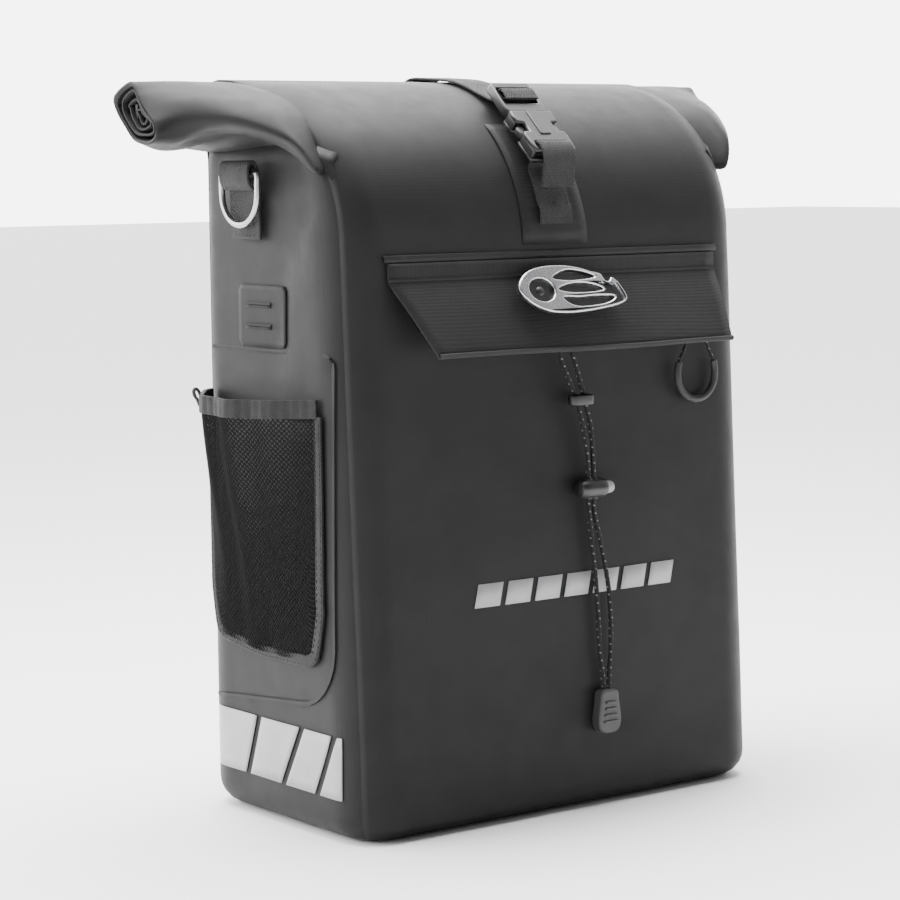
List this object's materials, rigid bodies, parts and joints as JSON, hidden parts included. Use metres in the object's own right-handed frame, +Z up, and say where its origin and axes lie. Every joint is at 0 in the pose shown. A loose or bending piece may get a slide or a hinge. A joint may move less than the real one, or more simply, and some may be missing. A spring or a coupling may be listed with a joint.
{
  "type": "pannier bag",
  "caption": "Upright roll-top pannier bag with a buckled closing strap, flap pocket, elastic cord, mesh side pockets and rack hooks on the back.",
  "frame": {"origin": "middle of the flat base, on the floor", "axes": "+Z up, -Y is the front with the buckle, +Y is the back with the rack hooks, +X is the viewer's right when looking at the front"},
  "size_m": [0.444, 0.2218, 0.4522],
  "materials": {
    "coated_fabric": "matt waterproof coating",
    "webbing": "woven webbing",
    "mesh": "knitted mesh",
    "plastic": "moulded, faint sheen",
    "steel": "polished",
    "bright_plastic": "silver-grey",
    "reflective": "retroreflective film",
    "rubber": "matt",
    "board": "matt",
    "cord": "braided"
  },
  "bodies": {
    "bag": {"back_board": "board", "back_pad": "coated_fabric", "back_panel": "coated_fabric", "bottom_panel": "coated_fabric", "buckle_female": "plastic", "bungee_cord_left": "cord", "bungee_cord_right": "cord", "cord_anchor": "webbing", "cord_bead": "plastic", "cord_end_tab": "rubber", "front_panel": "coated_fabric", "front_strap": "webbing", "handle_anchor_left": "webbing", "handle_anchor_right": "webbing", "header_strip": "coated_fabric", "hook_rail": "plastic", "light_patch_left": "coated_fabric", "light_patch_right": "coated_fabric", "lower_rail": "plastic", "mesh_pocket_left": "mesh", "mesh_pocket_right": "mesh", "pocket_band_left": "webbing", "pocket_band_right": "webbing", "rail_cap_left": "plastic", "rail_cap_right": "plastic", "rail_screw_left": "steel", "rail_screw_right": "steel", "reflector_left": "reflective", "reflector_right": "reflective", "ring_tab_left": "webbing", "ring_tab_right": "webbing", "roll_closure": "coated_fabric", "roll_stiffener": "board", "roof_panel": "coated_fabric", "side_panel_left": "coated_fabric", "side_panel_right": "coated_fabric", "strap_patch": "coated_fabric", "top_strap": "webbing", "zip_tape": "webbing"},
    "flap": {"rain_flap": "coated_fabric", "hook_base": "plastic", "helmet_hook": "bright_plastic"},
    "strap_clip": {"buckle_male": "plastic"},
    "latch_left": {"buckle_latch_left": "plastic"},
    "latch_right": {"buckle_latch_right": "plastic"},
    "ring_left": {"d_ring_left": "steel"},
    "ring_right": {"d_ring_right": "steel"},
    "zip_runner": {"zip_slider": "steel"},
    "zip_puller": {"zip_pull": "rubber"},
    "stopper": {"cord_lock": "plastic", "cord_lock_spring": "steel"},
    "stopper_button": {"cord_lock_button": "bright_plastic"},
    "hook_left": {"rack_hook_left": "plastic"},
    "hook_right": {"rack_hook_right": "plastic"},
    "jaw_left": {"hook_jaw_left": "plastic"},
    "jaw_right": {"hook_jaw_right": "plastic"},
    "lower_slider": {"anchor_slider": "plastic"},
    "lower_arm": {"anchor_arm": "plastic"},
    "lower_knob": {"anchor_knob": "plastic"},
    "handle": {"carry_handle": "webbing"}
  },
  "joints": [
    {"name": "flap_hinge", "type": "hinge", "parent": "bag", "child": "flap", "pos_m": [0, -0.08105, 0.3412], "axis": [-1, 0, 0], "range_deg": [0, 85]},
    {"name": "strap_release", "type": "slide", "parent": "bag", "child": "strap_clip", "axis": [0, 0.7322, 0.681], "range_m": [0, 0.026], "deforming": ["top_strap", "buckle_latch_left", "buckle_latch_right"]},
    {"name": "latch_press_left", "type": "hinge", "parent": "strap_clip", "child": "latch_left", "pos_m": [-0.0074, -0.05277, 0.426], "axis": [0, -0.681, 0.7322], "range_deg": [0, 11], "stiffness_Nm_per_rad": 0.03, "springref_deg": -11.46},
    {"name": "latch_press_right", "type": "hinge", "parent": "strap_clip", "child": "latch_right", "pos_m": [0.0074, -0.05277, 0.426], "axis": [0, 0.681, -0.7322], "range_deg": [0, 11], "stiffness_Nm_per_rad": 0.03, "springref_deg": -11.46},
    {"name": "ring_swing_left", "type": "hinge", "parent": "bag", "child": "ring_left", "pos_m": [-0.1646, 0.018, 0.3935], "axis": [0, 1, 0], "range_deg": [0, 80]},
    {"name": "ring_swing_right", "type": "hinge", "parent": "bag", "child": "ring_right", "pos_m": [0.1646, 0.018, 0.3935], "axis": [0, -1, 0], "range_deg": [0, 80]},
    {"name": "zip_run", "type": "slide", "parent": "bag", "child": "zip_runner", "axis": [-1, 0, 0], "range_m": [0, 0.074]},
    {"name": "zip_pull_swing", "type": "hinge", "parent": "zip_runner", "child": "zip_puller", "pos_m": [0.1085, -0.08693, 0.306], "axis": [-1, 0, 0], "range_deg": [0, 25]},
    {"name": "stopper_run", "type": "slide", "parent": "bag", "child": "stopper", "axis": [0, 0, 1], "range_m": [-0.009, 0.009]},
    {"name": "button_press", "type": "slide", "parent": "stopper", "child": "stopper_button", "axis": [-1, 0, 0], "range_m": [0, 0.002], "stiffness_N_per_m": 600, "springref_m": -0.002, "deforming": ["cord_lock_spring"]},
    {"name": "hook_run_left", "type": "slide", "parent": "bag", "child": "hook_left", "axis": [1, 0, 0], "range_m": [-0.012, 0.055]},
    {"name": "jaw_swing_left", "type": "hinge", "parent": "hook_left", "child": "jaw_left", "pos_m": [-0.095, 0.0957, 0.3195], "axis": [1, 0, 0], "range_deg": [0, 65], "stiffness_Nm_per_rad": 0.004, "springref_deg": -28.65},
    {"name": "hook_run_right", "type": "slide", "parent": "bag", "child": "hook_right", "axis": [-1, 0, 0], "range_m": [-0.012, 0.055]},
    {"name": "jaw_swing_right", "type": "hinge", "parent": "hook_right", "child": "jaw_right", "pos_m": [0.095, 0.0957, 0.3195], "axis": [1, 0, 0], "range_deg": [0, 65], "stiffness_Nm_per_rad": 0.004, "springref_deg": -28.65},
    {"name": "lower_run", "type": "slide", "parent": "bag", "child": "lower_slider", "axis": [1, 0, 0], "range_m": [-0.07, 0.03]},
    {"name": "arm_swing", "type": "hinge", "parent": "lower_slider", "child": "lower_arm", "pos_m": [0.02, 0.0914, 0.195], "axis": [0, 1, 0], "range_deg": [-60, 60]},
    {"name": "knob_turn", "type": "hinge", "parent": "lower_slider", "child": "lower_knob", "pos_m": [0.02, 0.0914, 0.195], "axis": [0, 1, 0], "continuous": true},
    {"name": "handle_swing", "type": "hinge", "parent": "bag", "child": "handle", "pos_m": [0, 0.0871, 0.3988], "axis": [1, 0, 0], "range_deg": [0, 140]}
  ]
}
